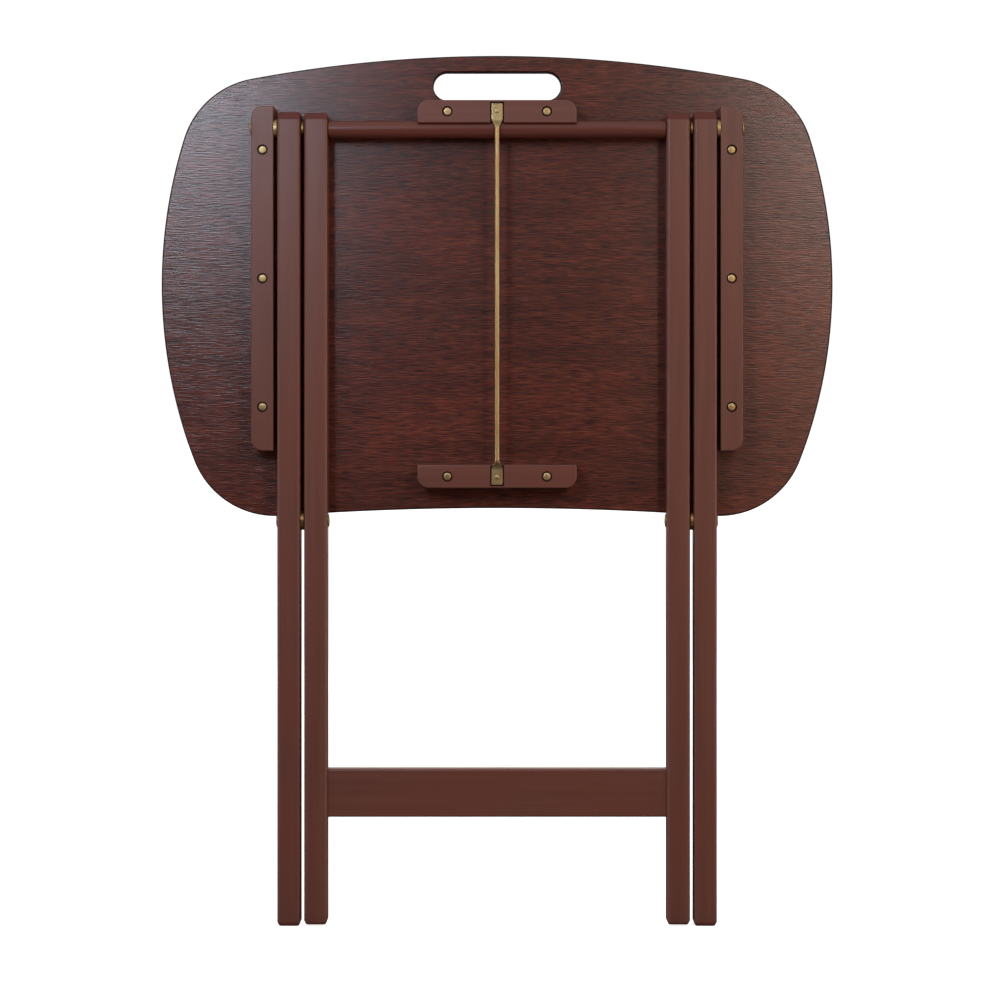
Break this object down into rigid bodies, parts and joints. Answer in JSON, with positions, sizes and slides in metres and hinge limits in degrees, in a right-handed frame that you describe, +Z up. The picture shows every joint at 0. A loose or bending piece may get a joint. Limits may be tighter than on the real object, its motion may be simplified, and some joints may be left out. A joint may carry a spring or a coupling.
{
  "type": "folding tray table",
  "caption": "Wooden folding tray table, folded flat: bow-sided tray with a handle slot, scissor legs, round crossbar, lower stretcher and brass guide rod.",
  "frame": {"origin": "on the floor, at the middle of the folded table's outline, level with the ends of the outer legs", "axes": "+Z up along the folded legs to the tray's handle edge, +X across the tray to the right as its underside is seen, and -Y the way the tray's underside faces"},
  "size_m": [0.58, 0.0392, 0.747],
  "materials": {
    "walnut_board": "satin dark walnut veneer",
    "stained_wood": "satin dark walnut stain on solid wood",
    "plain_wood": "unfinished beech",
    "antique_brass": "antique brass"
  },
  "bodies": {
    "tray": {"tray_board": "walnut_board", "upper_centre_cleat": "stained_wood", "lower_centre_cleat": "stained_wood", "guide_rod": "antique_brass", "guide_rod_nail_upper": "antique_brass", "guide_rod_nail_lower": "antique_brass", "side_cleat_left": "stained_wood", "side_cleat_right": "stained_wood", "side_cleat_screw_left_1": "antique_brass", "side_cleat_screw_left_2": "antique_brass", "side_cleat_screw_left_3": "antique_brass", "side_cleat_screw_right_1": "antique_brass", "side_cleat_screw_right_2": "antique_brass", "side_cleat_screw_right_3": "antique_brass", "upper_cleat_screw_left": "antique_brass", "upper_cleat_screw_right": "antique_brass", "lower_cleat_screw_left": "antique_brass", "lower_cleat_screw_right": "antique_brass", "top_pivot_bolt_left": "antique_brass", "top_pivot_bolt_right": "antique_brass", "top_pivot_spacer_left": "antique_brass", "top_pivot_spacer_right": "antique_brass", "top_pivot_cap_left": "antique_brass", "top_pivot_cap_right": "antique_brass"},
    "left_outer_leg": {"outer_leg_left": "stained_wood", "middle_pivot_bolt_left": "antique_brass", "middle_pivot_washer_left": "antique_brass"},
    "right_outer_leg": {"outer_leg_right": "stained_wood", "middle_pivot_bolt_right": "antique_brass", "middle_pivot_washer_right": "antique_brass"},
    "crossbar": {"top_crossbar": "stained_wood"},
    "inner_frame": {"inner_leg_left": "stained_wood", "inner_leg_right": "stained_wood", "lower_stretcher": "stained_wood", "stretcher_dowel_left_1": "plain_wood", "stretcher_dowel_left_2": "plain_wood", "stretcher_dowel_right_1": "plain_wood", "stretcher_dowel_right_2": "plain_wood", "middle_pivot_nut_left": "antique_brass", "middle_pivot_nut_right": "antique_brass"}
  },
  "joints": [
    {"name": "inner_frame_swing", "type": "hinge", "parent": "crossbar", "child": "inner_frame", "pos_m": [0, -0.00735, 0.6814], "axis": [-1, 0, 0], "range_deg": [0, 114.56]},
    {"name": "crossbar_slide", "type": "slide", "parent": "tray", "child": "crossbar", "axis": [0, 0, -1], "range_m": [0, 0.2797]},
    {"name": "left_outer_leg_swing", "type": "hinge", "parent": "tray", "child": "left_outer_leg", "pos_m": [0, -0.00735, 0.682], "axis": [-1, 0, 0], "range_deg": [0, 65.24]},
    {"name": "right_outer_leg_swing", "type": "hinge", "parent": "tray", "child": "right_outer_leg", "pos_m": [0, -0.00735, 0.682], "axis": [-1, 0, 0], "range_deg": [0, 65.24]}
  ],
  "couplings": [
    {"joint": "crossbar_slide", "follows": "inner_frame_swing", "m_per_rad": 0.13984},
    {"joint": "left_outer_leg_swing", "follows": "inner_frame_swing", "ratio": 0.56935},
    {"joint": "right_outer_leg_swing", "follows": "inner_frame_swing", "ratio": 0.56935}
  ]
}
